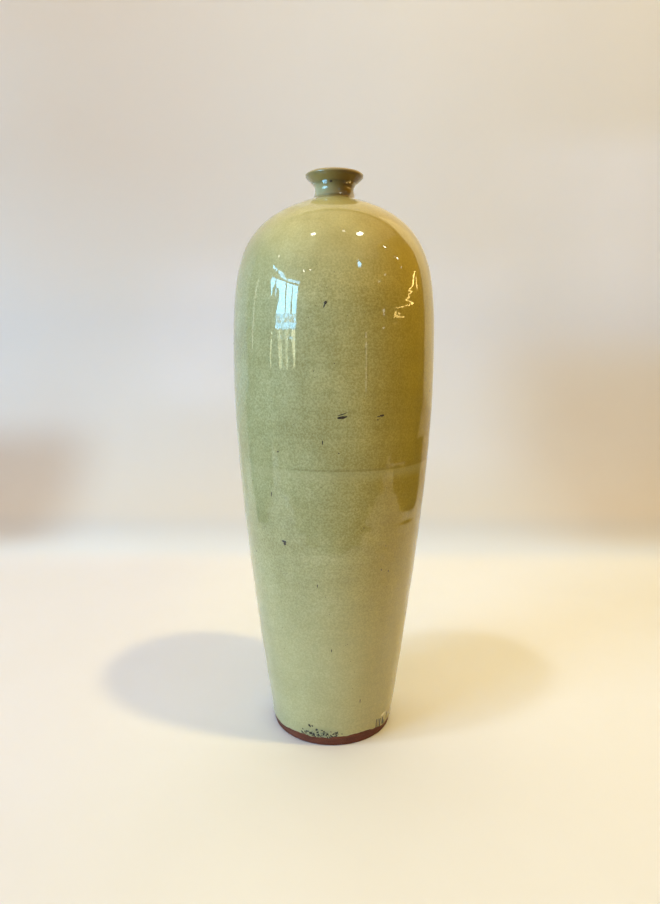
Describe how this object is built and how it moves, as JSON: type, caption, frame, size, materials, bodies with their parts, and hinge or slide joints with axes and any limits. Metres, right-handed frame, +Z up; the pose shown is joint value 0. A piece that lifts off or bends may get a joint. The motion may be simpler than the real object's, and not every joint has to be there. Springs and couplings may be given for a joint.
{
  "type": "stoneware bottle vase",
  "caption": "Tall tapering stoneware vase with a full shoulder, a short narrow neck and a flared lip, pale green glossy glaze over a bare red-brown foot.",
  "frame": {"origin": "centre of the foot's resting plane", "axes": "+Z up along the vase's axis of turning, -Y towards the side that the picture shows"},
  "size_m": [0.1414, 0.1414, 0.399],
  "materials": {
    "bare_stoneware": "fired iron-bearing stoneware, unglazed, matt and slightly gritty",
    "joint_slip": "fired joining slip, matt",
    "celadon_glaze": "pale grey-green celadon glaze, glossy, finely mottled with a few iron specks",
    "liner_glaze": "thin clear green liner glaze, glossy"
  },
  "bodies": {
    "root": {"lower_body": "bare_stoneware", "upper_body": "bare_stoneware", "neck": "bare_stoneware", "body_joint_slip": "joint_slip", "neck_joint_slip": "joint_slip", "outer_glaze": "celadon_glaze", "liner_glaze": "liner_glaze"}
  },
  "joints": []
}
